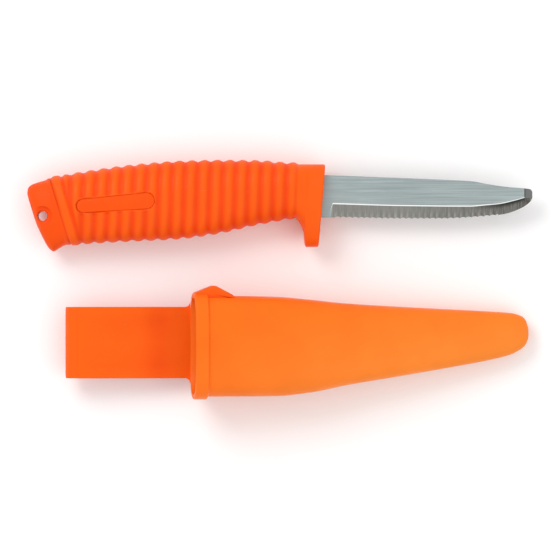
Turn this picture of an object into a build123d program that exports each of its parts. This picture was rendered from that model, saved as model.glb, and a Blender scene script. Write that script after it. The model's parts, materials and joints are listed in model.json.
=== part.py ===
from build123d import *
from math import atan2, ceil, copysign, cos, degrees, radians, sin
import os

# A floating rigging knife lying flat beside its sheath. Millimetres, +Z up.
# +X runs toward the blade's tip, +Y toward its spine, and both items lie on Z = 0.
# The knife is drawn from a datum where the blade's axis leaves the guard's front face,
# and the sheath from the middle of its mouth.

# ---- Driving sizes: knife ----
blade_length = 93.25          # out of the guard, along the blade's axis
blade_thickness = 2.0
ricasso_length = 4.0          # plain steel between the guard and the ground bevel
bevel_edge = 0.5              # steel left at the cutting edge
serration_pitch = 2.65
serration_depth = 0.45
tip_facet = 4.1               # blunt ground end
tip_thickness = 0.9
tang_length = 74.0            # behind the guard's front face
tang_height = 11.0
grip_length = 116.4           # from the guard's front face back to the end cap's seam
handle_thickness = 23.0       # across the rib crests
front_thickness = 20.0        # of the smooth collar and guard
seam_thickness = 21.0         # of the grip where the end cap meets it
guard_drop = 22.85            # guard's lowest point under the blade's axis
crest_height = 16.1           # highest rib crest over the blade's axis
smooth_front = 10.9           # length of the plain collar behind the guard's front face
rib_pitch = 5.63
rib_depth = 0.8
rib_crest = 0.42              # share of the pitch that the crest takes
rib_lean = 2.1                # degrees, feet of the ribs toward the end cap
front_lean = 4.7              # degrees, rake of the guard's front face
seam_lean = -17.3             # degrees, rake of the end cap's seam
seam_height = -6.95           # seam's middle over the blade's axis
grip_wall = 3.4               # from rib crest to the float cavity
solid_front = 31.0            # length of solid moulding behind the guard's front face
core_length = 70.0            # tang core
core_height = 16.0
core_thickness = 8.0
core_overlap = 10.0           # tang core starts this far behind the guard's front face
badge_length = 34.7
badge_ends = (6.1, 7.3)       # heights of the plate's rear and front ends
badge_tilt = 4.6              # degrees
badge_place = (-91.85, -3.45)
badge_depth = 1.6
badge_groove = 0.35           # gap round the plate
badge_sink = 0.1              # plate's face under the rib crests
cap_hole = 4.4                # lanyard hole
cap_hole_place = (8.3, 0.5)   # behind the seam, and above its middle
cap_dish = 8.4                # flat-bottomed dish round the hole
cap_dish_depth = 0.6
spigot_length = 8.0
spigot_wall = 3.6             # handle wall round the spigot, from the seam outline
seal_width = 1.8
seal_depth = 1.5
seal_setback = 3.0            # from the seam to the seal
seat_clearance = 0.1          # between pieces fixed inside the handle

# ---- Driving sizes: sheath ----
sheath_wall = 1.6
pocket_clearance = 0.3        # between the knife and the pocket
seat_depth = 53.35            # of the guard's front face inside the mouth
seat_offset = 4.3             # of the blade's axis over the sheath's axis
foot_room = 1.95              # spare pocket under the handle at the mouth
tip_room = 1.5
nose_wall = 1.8
nose_thickness = 12.5         # at the start of the nose's rounding
collar_length = 6.4
collar_proud = 1.25
collar_round = 0.6
strap_length = 55.4           # outside the mouth, fold included
strap_width = 31.8
strap_thickness = 2.2
strap_offset = 1.35           # of the strap's middle over the sheath's axis
strap_root_fillet = 2.4
strap_root = (0.4, 2.7)       # strap's foot on the collar: its length, and its reach to each side
belt_gap = 6.0
clip_width = 31.8
clip_reach = 13.0             # from the mouth back to the leaf's end
clip_lip = 6.0                # length of the turned-out lip
clip_lip_drop = 1.5
hinge_gap = 0.3
ramp_start = 4.0              # thumb ramp, from the mouth
ramp_peak = 9.0
ramp_end = 18.2
ramp_rise = 4.9               # over the body's top edge
ramp_width = 14.0
item_spacing = 66.6           # from the blade's axis down to the sheath's axis
mouth_setback = 57.45         # of the sheath's mouth behind the guard's front face

# ---- Section shapes ----
grip_roundness = 2.6          # superellipse exponents
sheath_roundness = 3.2
section_points = 24

# ---- Profiles (distance forward of the datum, low, high over the axis) ----
handle_half = handle_thickness / 2
front_half = front_thickness / 2
seam_half = seam_thickness / 2
front_height = crest_height - 2.0
ribbed_profile = [
    (-grip_length - 7.6, -23.2, 8.0, seam_half - 0.3),
    (-0.93 * grip_length, -21.75, 10.75, handle_half),
    (-0.73 * grip_length, -20.4, 14.05, handle_half),
    (-0.54 * grip_length, -19.3, 15.75, handle_half),
    (-0.39 * grip_length, -16.85, crest_height, handle_half),
    (-0.25 * grip_length, -13.15, crest_height - 0.15, handle_half),
    (-smooth_front - 7.0, -11.05, crest_height - 0.95, handle_half),
    (-smooth_front, -9.9, crest_height - 1.2, handle_half),
]
guard_profile = [
    (-smooth_front, -10.9, front_height, handle_half - rib_depth),
    (-9.2, -13.2, front_height, front_half + 0.3),
    (-7.7, -16.6, front_height, front_half + 0.2),
    (-7.0, 1.5 - guard_drop, front_height, front_half + 0.1),
    (-6.0, -guard_drop, front_height, front_half),
    (-0.7, -guard_drop, front_height, front_half),
    (0.0, 0.7 - guard_drop, front_height - 0.7, front_half - 0.7),
]
# behind the seam: distance, low, high about the seam's middle, half thickness
cap_profile = [
    (0.0, -15.3, 15.3, seam_half),
    (1.0, -15.2, 15.8, seam_half),
    (2.4, -14.8, 15.4, seam_half - 0.7),
    (5.8, -15.4, 15.45, seam_half - 1.6),
    (8.3, -16.0, 15.4, seam_half - 2.3),
    (9.9, -14.4, 15.0, seam_half - 3.1),
    (11.0, -10.2, 14.3, seam_half - 4.2),
    (12.1, -3.0, 12.0, seam_half - 6.0),
]
spine_outline = [(0.37, 8.0), (0.58, 7.2), (0.71, 6.5), (0.79, 5.2), (0.87, 4.1), (0.985, 3.1)]
edge_outline = [(0.36, -10.15), (0.57, -10.15), (0.75, -9.3), (0.865, -8.05), (0.94, -5.7), (0.99, -2.6)]
bevel_outline = [(0.045, -3.5), (0.37, -4.35), (0.7, -4.65), (0.84, -3.5), (0.96, -0.45), (1.01, 0.6)]

# ---- Derived sizes ----
throat_high = crest_height + seat_offset + pocket_clearance + sheath_wall
seat_low = guard_drop - seat_offset + pocket_clearance + sheath_wall
throat_low = seat_low + foot_room
mouth_half = handle_half + pocket_clearance + sheath_wall
nose_half = nose_thickness / 2
sheath_length = seat_depth + blade_length + tip_room + nose_wall
taper = sheath_length - seat_depth
# from the mouth forward: distance, low, high about the sheath's axis, half thickness
sheath_profile = [
    (0.0, -throat_low, throat_high, mouth_half),
    (0.34 * seat_depth, -throat_low, throat_high - 0.15, mouth_half),
    (0.67 * seat_depth, -throat_low + 0.1, throat_high - 0.5, mouth_half),
    (seat_depth - 1.5, -seat_low - 0.3, throat_high - 1.85, mouth_half - 0.6),
    (seat_depth + 0.15 * taper, -17.6, throat_high - 3.5, mouth_half - 1.8),
    (seat_depth + 0.4 * taper, -13.6, throat_high - 5.0, nose_half + 4.2),
    (seat_depth + 0.62 * taper, -10.0, throat_high - 6.1, nose_half + 2.3),
    (seat_depth + 0.83 * taper, -6.25, throat_high - 7.2, nose_half + 0.7),
    (sheath_length - 8.0, -4.1, throat_high - 7.8, nose_half),
    (sheath_length - 2.8, -1.4, throat_high - 9.2, nose_half - 1.4),
    (sheath_length - 0.9, 0.5, throat_high - 11.2, nose_half - 2.6),
    (sheath_length, 2.6, throat_high - 14.2, nose_half - 3.6),
]


def station_slope(profile, number, column):
    """Slope of a profile's curve at a station: level at a peak, so that it never overshoots."""
    before, after = max(number - 1, 0), min(number + 1, len(profile) - 1)
    rises = [
        (profile[late][column] - profile[early][column]) / (profile[late][0] - profile[early][0])
        for early, late in ((before, number), (number, after)) if late > early
    ]
    if min(rises) * max(rises) <= 0:
        return 0.0
    return len(rises) / sum(1 / rise for rise in rises)


def smooth_values(profile, distance):
    """Read a profile's values at a distance, on a cubic curve through its stations."""
    later = [number for number, station in enumerate(profile) if station[0] >= distance]
    upper = min(max(later[0] if later else len(profile) - 1, 1), len(profile) - 1)
    start, end = profile[upper - 1], profile[upper]
    span = end[0] - start[0]
    share = (distance - start[0]) / span
    values = []
    for column in range(1, len(start)):
        leaving = span * station_slope(profile, upper - 1, column)
        arriving = span * station_slope(profile, upper, column)
        values.append(
            (2 * share**3 - 3 * share**2 + 1) * start[column]
            + (share**3 - 2 * share**2 + share) * leaving
            + (3 * share**2 - 2 * share**3) * end[column]
            + (share**3 - share**2) * arriving
        )
    return values


def rounded_section(plane, low, high, half_thickness, roundness):
    """A closed superellipse face, with the plane's x running from low to high."""
    points = []
    for number in range(section_points):
        angle = radians(360 * number / section_points)
        along, across = cos(angle), sin(angle)
        points.append((
            (low + high) / 2 + (high - low) / 2 * copysign(abs(along) ** (2 / roundness), along),
            half_thickness * copysign(abs(across) ** (2 / roundness), across),
        ))
    with BuildSketch(plane) as section:
        with BuildLine():
            Spline(*points, periodic=True)
        make_face()
    return section.sketch


# ---- Frames of the two items ----
seam_turn = radians(seam_lean)
cap_length, cap_end_low, cap_end_high, cap_end_half = cap_profile[-1]
rear_reach = grip_length + cap_length * cos(seam_turn) - cap_end_high * sin(seam_turn)
lowest = -item_spacing - throat_low - collar_proud
knife_frame = Plane(
    origin=((rear_reach - blade_length) / 2, -(crest_height + lowest) / 2, handle_half)
)
strap_back = mouth_half + collar_proud
lip_depth = strap_back + belt_gap + strap_thickness + clip_lip_drop
nose_reach = sheath_length - 8.0
sheath_tilt = atan2(lip_depth - nose_half, nose_reach + clip_reach)
mouth_height = lip_depth * cos(sheath_tilt) - clip_reach * sin(sheath_tilt)
sheath_frame = Plane(
    origin=knife_frame.from_local_coords((-mouth_setback, -item_spacing, mouth_height - handle_half)),
    x_dir=(cos(sheath_tilt), 0, -sin(sheath_tilt)),
    z_dir=(sin(sheath_tilt), 0, cos(sheath_tilt)),
)


def knife_plane(distance, lean, height=0.0):
    """Cross-section plane of the knife, leaning by degrees about its point on the axis."""
    turn = radians(lean)
    return Plane(
        origin=knife_frame.from_local_coords((distance, height, 0)),
        x_dir=(sin(turn), cos(turn), 0),
        z_dir=(cos(turn), -sin(turn), 0),
    )


def sheath_plane(distance):
    """Cross-section plane of the sheath at a distance from its mouth."""
    return Plane(
        origin=sheath_frame.from_local_coords((distance, 0, 0)),
        x_dir=sheath_frame.y_dir,
        z_dir=sheath_frame.x_dir,
    )


def side_plane(frame):
    """Plane through an item's axis, seen from its -Y side: x forward, y up."""
    return Plane(origin=frame.origin, x_dir=frame.x_dir, z_dir=-frame.y_dir)


seam_plane = knife_plane(-grip_length, seam_lean, seam_height)
spigot_end = seam_plane.offset(spigot_length + seat_clearance)


# ---- Blade and tang ----
shoulder = -2.5               # blade's shoulder, inside the guard
edge_profile = [(0.03, -9.6)] + edge_outline + [(1.0, -1.0)]
edge_points = [(share * blade_length, height) for share, height in edge_profile]
spine_points = [(share * blade_length, height) for share, height in [(-0.03, 9.4)] + spine_outline]
half_blade = blade_thickness / 2
scallop_radius = (serration_pitch**2 / 4 + serration_depth**2) / (2 * serration_depth)
scallop_count = int((edge_outline[3][0] * blade_length - ricasso_length) / serration_pitch)



def bevel_section(share, top):
    """What the grinding takes off one side of the blade, from the bevel's top line down."""
    along = share * blade_length
    low = smooth_values(edge_points, min(along, blade_length))[0]
    below = low - 3
    with BuildSketch(knife_plane(along, 0)) as section:
        with BuildLine():
            Polyline(
                (top, half_blade),
                (low, bevel_edge / 2),
                (below, bevel_edge / 2),
                (below, blade_thickness),
                (top, blade_thickness),
                close=True,
            )
        make_face()
    return section.sketch


with BuildPart() as bevel_cut:
    loft([bevel_section(share, top) for share, top in bevel_outline], ruled=True)
    mirror(about=knife_frame)

with BuildPart() as blade:
    with BuildSketch(knife_frame):
        with BuildLine():
            spine = Spline(*spine_points)
            nose = Polyline(spine @ 1, (blade_length, spine_outline[-1][1] - 0.9), edge_points[-1])
            edge = Spline(*reversed(edge_points))
            Polyline(
                edge @ 1,
                (shoulder, -9.6),
                (shoulder, -tang_height / 2),
                (6 - tang_length, -tang_height / 2),
                (-tang_length, 2 - tang_height / 2),
                (-tang_length, tang_height / 2 - 2),
                (6 - tang_length, tang_height / 2),
                (shoulder, tang_height / 2),
                spine @ 0,
            )
        make_face()
        for number in range(scallop_count):
            along = ricasso_length + (number + 1) * serration_pitch
            height = smooth_values(edge_points, along)[0] + serration_depth - scallop_radius
            with Locations((along, height)):
                Circle(scallop_radius, mode=Mode.SUBTRACT)
    extrude(amount=half_blade, both=True)
    add(bevel_cut.part, mode=Mode.SUBTRACT)
    with BuildSketch(side_plane(knife_frame)):
        with BuildLine():
            Polyline(
                (blade_length - tip_facet, half_blade),
                (blade_length + 1, tip_thickness / 2 - 0.1),
                (blade_length + 1, blade_thickness),
                (blade_length - tip_facet, blade_thickness),
                close=True,
            )
        make_face()
        mirror(about=Plane.XZ)
    extrude(amount=blade_length / 10, both=True, mode=Mode.SUBTRACT)
blade.part.label = "blade"


# ---- Tang core ----
with BuildPart() as core_block:
    with BuildSketch(knife_frame):
        with Locations((-core_overlap - core_length / 2, 0)):
            RectangleRounded(core_length, core_height, 3)
    extrude(amount=core_thickness / 2, both=True)

with BuildPart() as tang_core:
    add(core_block.part)
    add(blade.part, mode=Mode.SUBTRACT)
tang_core.part.label = "tang_core"


# ---- Float cavity and its foam ----
def cavity_loft(inset):
    """Sections of the float cavity, inset from the rib crests."""
    sections = []
    for distance in (-grip_length - 5, -0.85 * grip_length, -0.65 * grip_length,
                     -0.5 * grip_length, -0.37 * grip_length, -solid_front):
        low, high, half = smooth_values(ribbed_profile, distance)
        sections.append(rounded_section(
            knife_plane(distance, rib_lean), low + inset, high - inset, half - inset, grip_roundness
        ))
    return sections


with BuildPart() as cavity:
    loft(cavity_loft(grip_wall))
    split(bisect_by=spigot_end, keep=Keep.TOP)

with BuildPart() as float_core:
    loft(cavity_loft(grip_wall + seat_clearance))
    split(bisect_by=spigot_end.offset(seat_clearance), keep=Keep.TOP)
    split(bisect_by=knife_plane(-solid_front - seat_clearance, rib_lean), keep=Keep.BOTTOM)
    add(core_block.part, mode=Mode.SUBTRACT)
float_core.part.label = "float_core"


# ---- Badge plates ----
def badge_outline(grow):
    """Outline of a badge plate: two round ends of different height, joined by tangents."""
    rear_end, front_end = (height / 2 for height in badge_ends)
    with BuildSketch() as outline:
        with Locations((rear_end - badge_length / 2, 0)):
            Circle(rear_end + grow)
        with Locations((badge_length / 2 - front_end, 0)):
            Circle(front_end + grow)
        make_hull()
    return outline.sketch


badge_frame = Plane(
    origin=knife_frame.from_local_coords((*badge_place, handle_half - badge_depth)),
    x_dir=(cos(radians(badge_tilt)), sin(radians(badge_tilt)), 0),
)

with BuildPart() as badge_front:
    with BuildSketch(badge_frame):
        add(badge_outline(0))
    extrude(amount=badge_depth - badge_sink)
badge_front.part.label = "badge_front"

with BuildPart() as badge_back:
    mirror(badge_front.part, about=knife_frame)
badge_back.part.label = "badge_back"

with BuildPart() as badge_pocket:
    with BuildSketch(badge_frame):
        add(badge_outline(badge_groove))
    extrude(amount=badge_depth + 1)
    mirror(about=knife_frame)


# ---- Handle ----
def grip_section(distance, depth):
    """Section of the ribbed grip, sunk by depth under its rib crests."""
    low, high, half = smooth_values(ribbed_profile, distance)
    return rounded_section(
        knife_plane(distance, rib_lean), low + depth, high - depth, half - depth, grip_roundness
    )


rib_count = ceil((grip_length + 6 - smooth_front) / rib_pitch)
grip_sections = [grip_section(-smooth_front + 0.5, rib_depth)]
for number in range(rib_count):
    crest = -smooth_front - (number + 0.5) * rib_pitch
    grip_sections.append(grip_section(crest + rib_crest / 2 * rib_pitch, 0))
    grip_sections.append(grip_section(crest - rib_crest / 2 * rib_pitch, 0))
    grip_sections.append(grip_section(crest - rib_pitch / 2, rib_depth))

guard_sections = []
for distance, low, high, half in guard_profile:
    lean = rib_lean + (front_lean - rib_lean) * (1 + distance / smooth_front)
    guard_sections.append(
        rounded_section(knife_plane(distance, lean), low, high, half, grip_roundness)
    )

seam_low, seam_high = cap_profile[0][1:3]
end_rib_sections = []
for forward, depth in ((0.0, 0.6), (1.4, -0.3), (3.3, -0.3), (4.9, rib_depth)):
    end_rib_sections.append(rounded_section(
        seam_plane.offset(forward), seam_low + depth, seam_high - depth, seam_half - depth, grip_roundness
    ))


def spigot_section(plane, gap):
    """Section of the end cap's spigot, or with no gap of the socket that takes it."""
    inset = spigot_wall + gap
    return rounded_section(
        plane, seam_low + inset, seam_high - inset, seam_half - inset, grip_roundness
    )


with BuildPart() as handle_body:
    loft(grip_sections, ruled=True)
    split(bisect_by=seam_plane, keep=Keep.TOP)
    loft(guard_sections, ruled=True)
    loft(end_rib_sections, ruled=True)
    add(cavity.part, mode=Mode.SUBTRACT)
    extrude(spigot_section(seam_plane, 0), amount=spigot_length + seat_clearance, mode=Mode.SUBTRACT)
    add(core_block.part, mode=Mode.SUBTRACT)
    add(blade.part, mode=Mode.SUBTRACT)
    add(badge_pocket.part, mode=Mode.SUBTRACT)
handle_body.part.label = "handle_body"


# ---- End cap and its seal ----
seal_plane = seam_plane.offset(seal_setback)

with BuildPart() as cap_seal:
    extrude(spigot_section(seal_plane, 0), amount=seal_width)
    extrude(spigot_section(seal_plane, seal_depth), amount=seal_width, mode=Mode.SUBTRACT)
cap_seal.part.label = "cap_seal"

cap_sections = [
    rounded_section(seam_plane.offset(-behind), low, high, half, grip_roundness)
    for behind, low, high, half in cap_profile
]
hole_height, hole_distance = cap_hole_place[1], cap_hole_place[0]
hole_centre = seam_plane.from_local_coords((hole_height, 0, -hole_distance))
hole_half = smooth_values(cap_profile, hole_distance)[2] - cap_dish_depth - 0.8
hole_plane = Plane(origin=hole_centre)

with BuildPart() as end_cap:
    loft(cap_sections, ruled=True)
    extrude(spigot_section(seam_plane, seat_clearance), amount=spigot_length)
    add(cap_seal.part, mode=Mode.SUBTRACT)
    with BuildSketch(hole_plane.offset(hole_half), hole_plane.offset(-hole_half).rotated((180, 0, 0))):
        Circle(cap_dish / 2)
    extrude(amount=handle_half, mode=Mode.SUBTRACT)
    with Locations(hole_plane):
        Hole(cap_hole / 2)
end_cap.part.label = "end_cap"


# ---- Sheath ----
def sheath_sections(inset, nose_inset):
    """Sections of the sheath's body, inset all round and drawn back at the nose."""
    stretch = (sheath_length - nose_inset) / sheath_length
    return [
        rounded_section(sheath_plane(distance * stretch), low + inset, high - inset, half - inset,
                        sheath_roundness)
        for distance, low, high, half in sheath_profile
    ]


collar_sections = [
    rounded_section(sheath_plane(distance), -throat_low - grow, throat_high + grow, mouth_half + grow,
                    sheath_roundness)
    for distance, grow in (
        (0.0, collar_proud - collar_round),
        (collar_round, collar_proud),
        (collar_length - collar_round, collar_proud),
        (collar_length, collar_proud - collar_round),
    )
]

with BuildPart() as sheath_body:
    loft(sheath_sections(0, 0), ruled=True)
    loft(collar_sections, ruled=True)
    with BuildSketch(sheath_frame) as ramp_outline:
        ramp_foot = throat_high - sheath_wall + 0.3
        with BuildLine():
            Polyline(
                (ramp_start, ramp_foot),
                (ramp_start, throat_high + collar_proud),
                (ramp_peak, throat_high + ramp_rise),
                (ramp_end, throat_high - 0.2),
                (ramp_end, ramp_foot),
                close=True,
            )
        make_face()
        fillet(ramp_outline.vertices().sort_by(Axis.Y)[-1], radius=1.5)
    extrude(amount=ramp_width / 2, both=True)
    loft(sheath_sections(sheath_wall, nose_wall), ruled=True, mode=Mode.SUBTRACT)
sheath_body.part.label = "sheath_body"


# ---- Belt strap and its folded clip ----
strap_middle = strap_thickness / 2 - strap_back
fold_radius = (belt_gap + strap_thickness) / 2
fold_distance = strap_length - fold_radius - strap_thickness / 2
leaf_middle = strap_middle - 2 * fold_radius

with BuildPart() as belt_strap:
    with BuildSketch(sheath_frame.offset(-strap_back)) as strap_outline:
        with Locations((0, strap_offset)):
            Rectangle(fold_distance - hinge_gap, strap_width, align=(Align.MAX, Align.CENTER))
            Rectangle(strap_root[0], strap_width + 2 * strap_root[1], align=(Align.MAX, Align.CENTER))
        inner_corners = strap_outline.vertices().group_by(Axis.X)[1].sort_by(Axis.Y)[1:3]
        fillet(inner_corners, radius=strap_root_fillet)
    extrude(amount=strap_thickness)
belt_strap.part.label = "belt_strap"

with BuildPart() as belt_clip:
    with BuildSketch(side_plane(sheath_frame).offset(-strap_offset)):
        with BuildLine():
            ThreePointArc(
                (-fold_distance, strap_middle),
                (-fold_distance - fold_radius, strap_middle - fold_radius),
                (-fold_distance, leaf_middle),
            )
            FilletPolyline(
                (-fold_distance, leaf_middle),
                (-clip_reach - clip_lip, leaf_middle),
                (-clip_reach, leaf_middle - clip_lip_drop),
                radius=6,
            )
        trace(line_width=strap_thickness)
    extrude(amount=clip_width / 2, both=True)
belt_clip.part.label = "belt_clip"


pieces = (
    blade, tang_core, handle_body, float_core, cap_seal, end_cap,
    badge_front, badge_back, sheath_body, belt_strap, belt_clip,
)
os.makedirs("parts", exist_ok=True)
for piece in pieces:
    export_step(piece.part, f"parts/{piece.part.label}.step")

clip_hinge = sheath_frame.from_local_coords((-fold_distance, strap_offset, strap_thickness - strap_back))
for name, place in (
    ("knife datum", knife_frame.origin),
    ("sheath mouth", sheath_frame.origin),
    ("clip hinge", clip_hinge),
    ("lanyard hole", hole_centre),
):
    print(name, tuple(round(value, 3) for value in place))
print("lanyard hole length", round(2 * hole_half, 3))
print("sheath tilt", round(degrees(sheath_tilt), 3), "degrees")
print("stroke out of the sheath", round(seat_depth + blade_length, 1))
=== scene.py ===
import json
import math

import bpy
import numpy as np
from bpy.props import FloatProperty, FloatVectorProperty, PointerProperty
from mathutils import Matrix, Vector


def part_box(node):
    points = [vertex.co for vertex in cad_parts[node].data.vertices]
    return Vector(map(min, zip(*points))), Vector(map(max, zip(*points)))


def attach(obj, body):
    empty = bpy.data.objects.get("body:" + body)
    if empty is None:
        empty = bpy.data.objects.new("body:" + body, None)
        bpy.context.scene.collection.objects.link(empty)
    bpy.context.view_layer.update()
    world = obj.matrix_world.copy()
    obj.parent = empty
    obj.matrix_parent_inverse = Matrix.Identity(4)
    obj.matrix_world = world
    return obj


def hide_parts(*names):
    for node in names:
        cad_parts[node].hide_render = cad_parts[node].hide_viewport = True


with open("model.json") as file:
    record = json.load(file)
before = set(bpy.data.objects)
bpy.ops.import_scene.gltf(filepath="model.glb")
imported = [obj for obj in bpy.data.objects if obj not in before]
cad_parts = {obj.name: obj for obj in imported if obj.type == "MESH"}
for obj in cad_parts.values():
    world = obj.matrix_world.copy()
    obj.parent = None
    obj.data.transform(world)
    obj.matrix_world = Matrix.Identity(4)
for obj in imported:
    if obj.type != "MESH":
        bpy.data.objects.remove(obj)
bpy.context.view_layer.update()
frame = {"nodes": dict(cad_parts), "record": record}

bl_info = {
    "name": "Rigging Knife",
    "version": (1, 0, 0),
    "blender": (4, 5, 0),
    "location": "View3D > Sidebar > Rigging Knife",
    "description": "A floating rigging knife lying beside its moulded sheath",
    "category": "Add Mesh",
}

MM = 0.001


# ---------------------------------------------------------------- sizes and colours

def length(name, description, value):
    """A length property whose default is given in millimetres."""
    return FloatProperty(name=name, description=description, default=value * MM, unit="LENGTH", precision=5)


def colour(name, description, red, green, blue):
    """A colour property whose default is given as 0 to 255 display values."""
    channels = np.array([red, green, blue]) / 255
    low = channels / 12.92
    high = ((channels + 0.055) / 1.055) ** 2.4
    value = np.where(channels <= 0.04045, low, high)
    return FloatVectorProperty(name=name, description=description, subtype="COLOR", size=3,
                               default=tuple(float(part) for part in value), min=0, max=1)


class RigKnifeSizes(bpy.types.PropertyGroup):
    """Sizes of the knife, all measured from where the blade's axis leaves the guard."""
    blade_length: length("Blade length", "Out of the guard", 93.25)
    blade_thickness: length("Blade thickness", "At the flat", 2.0)
    spine_height: length("Spine height", "Over the blade's axis at the guard", 9.4)
    serration_pitch: length("Serration pitch", "From tooth to tooth", 2.65)
    serration_depth: length("Serration depth", "Of one scallop", 0.45)
    serration_start: length("Serration start", "From the guard", 5.3)
    serration_end: length("Serration end", "From the guard", 78.0)
    facet_length: length("Tip facet", "Length of the ground step at the blunt tip", 3.35)
    grip_length: length("Grip length", "From the guard's face to the end cap's seam", 116.4)
    handle_thickness: length("Handle thickness", "Across the rib crests", 23.0)
    smooth_front: length("Smooth front", "Length of the plain collar behind the guard", 10.9)
    rib_pitch: length("Rib pitch", "From rib to rib", 5.63)
    rib_depth: length("Rib depth", "From crest to groove", 0.8)
    seam_height: length("Seam height", "Of the seam's middle over the blade's axis", -6.95)
    cap_hole: length("Lanyard hole", "Its bore", 4.4)
    badge_length: length("Badge length", "Of the bare plate on the grip", 34.7)
    badge_sink: length("Badge sink", "Plate's face under the rib crests", 0.12)


class RigSheathSizes(bpy.types.PropertyGroup):
    """Sizes of the sheath, all measured from the middle of its mouth."""
    body_length: length("Sheath length", "From mouth to nose", 149.9)
    mouth_half: length("Mouth half thickness", "Outside, at the mouth", 13.4)
    wall: length("Wall", "Moulded wall thickness", 1.6)
    collar_length: length("Collar length", "Of the bead round the mouth", 6.4)
    collar_proud: length("Collar height", "Of the bead over the body", 1.25)
    strap_length: length("Strap length", "Out of the mouth, fold included", 55.4)
    strap_width: length("Strap width", "Of the flat belt strap", 31.8)
    strap_thickness: length("Strap thickness", "Of the strap and its clip", 2.2)
    strap_offset: length("Strap offset", "Of the strap's middle over the sheath's axis", 1.35)
    belt_gap: length("Belt gap", "Between the strap and the clip", 6.0)
    clip_reach: length("Clip reach", "From the mouth back to the clip's end", 13.0)
    clip_lip: length("Clip lip", "Length of the turned-out end", 6.0)
    clip_lip_drop: length("Lip drop", "How far the end turns out", 1.5)


class RigFinish(bpy.types.PropertyGroup):
    """Colours of the moulded plastic and the steel."""
    grip: colour("Grip", "Rib crests and guard", 250, 94, 13)
    # Groove colour: painted shade, laid in the rib grooves, the badge recess, round the badge plates and at
    # the end cap's seam
    groove: colour("Groove", "Between the ribs", 240, 70, 6)
    cap: colour("End cap", "Moulded plastic of the cap", 246, 80, 7)
    badge: colour("Badge plate", "Bare plate on the grip", 249, 82, 8)
    # Sheath colours: painted light and shade, the paler nose colour and the darker mouth colour are blended
    # along the sheath and across its height
    sheath_mouth: colour("Sheath at the mouth", "Thicker plastic", 253, 113, 22)
    sheath_nose: colour("Sheath at the nose", "Thinner, paler plastic", 252, 139, 48)
    strap: colour("Strap", "Belt strap and clip", 252, 100, 12)
    # Painted shade colour for the darker lobes on the strap, the clip and the foot of the thumb ramp
    strap_shade_colour: colour("Strap, darker", "Where the folded clip backs the strap", 244, 84, 5)
    steel: colour("Steel", "Brushed flat of the blade", 158, 169, 169)
    bevel: colour("Bevel", "Ground bevel near the guard", 126, 126, 121)
    bevel_tip: colour("Bevel at the tip", "Ground bevel near the tip", 76, 75, 70)
    facet: colour("Tip facet", "Coarse ground step", 126, 126, 126)


# ---------------------------------------------------------------- profiles
# Each station is (distance, low, high, half thickness) in millimetres.

GRIP_STATIONS = (
    (-124.0, -23.2, 8.0, 10.2), (-108.25, -21.75, 10.75, 11.5), (-85.0, -20.4, 14.05, 11.5),
    (-62.9, -19.3, 15.75, 11.5), (-45.4, -16.85, 16.1, 11.5), (-29.1, -13.15, 15.95, 11.5),
    (-17.9, -11.05, 15.15, 11.5), (-10.9, -9.9, 14.9, 11.5),
)
GUARD_STATIONS = (
    (-10.9, -10.5, 14.1, 10.7), (-9.2, -13.2, 14.1, 10.3), (-7.7, -16.6, 14.1, 10.2),
    (-7.0, -21.35, 14.1, 10.1), (-6.0, -22.8, 14.1, 10.0), (0.0, -22.8, 14.1, 10.0),
)
CAP_STATIONS = (
    (0.0, -15.3, 15.3, 10.5), (1.0, -15.2, 15.8, 10.5), (2.4, -14.8, 15.4, 9.8), (5.8, -15.4, 15.45, 8.9),
    (8.3, -16.0, 15.4, 8.2), (9.9, -14.4, 15.0, 7.4), (11.0, -10.2, 14.3, 6.3), (12.1, -3.0, 12.0, 4.5),
)
SHEATH_STATIONS = (
    (0.0, -22.4, 22.3, 13.4), (18.1, -22.4, 22.15, 13.4), (35.7, -22.3, 21.8, 13.4),
    (51.9, -20.75, 20.45, 12.8), (67.8, -17.6, 18.8, 11.6), (92.0, -13.6, 17.3, 10.45),
    (113.2, -10.0, 16.2, 8.55), (133.5, -6.25, 15.1, 6.95), (141.9, -4.1, 14.5, 6.25),
    (147.1, -1.4, 13.1, 4.85), (149.0, 0.5, 11.1, 3.65), (149.9, 2.6, 8.1, 2.65),
)
SPINE_STATIONS = (
    (-2.5, 9.4), (34.5, 8.0), (54.1, 7.2), (66.2, 6.5), (73.7, 5.2), (81.1, 4.1), (91.9, 3.1), (93.25, 2.6),
)
EDGE_STATIONS = (
    (-2.5, -9.6), (2.8, -9.6), (33.6, -10.15), (53.2, -10.15), (69.9, -9.3), (80.7, -8.05),
    (87.7, -5.7), (92.3, -2.6), (93.25, -0.9),
)
BEVEL_STATIONS = (
    (4.2, -3.5), (34.5, -4.35), (65.3, -4.65), (71.9, -4.1), (78.3, -3.5), (86.7, -1.6),
    (89.9, -0.75), (93.25, -0.6),
)
RIB_LEAN, FRONT_LEAN, SEAM_LEAN = (math.radians(angle) for angle in (2.1, 4.7, -17.3))
BADGE_PLACE, BADGE_TILT, BADGE_RADII = (-91.85, -3.45), math.radians(4.6), (3.05, 3.65)
CAP_HOLE_PLACE = (8.3, 0.5)
HINGE_GAP = 0.3 * MM  # between the strap and the clip that folds from it
GRIP_ROUNDNESS, SHEATH_ROUNDNESS, STRAP_ROUNDNESS = 2.6, 3.2, 12.0


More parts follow.
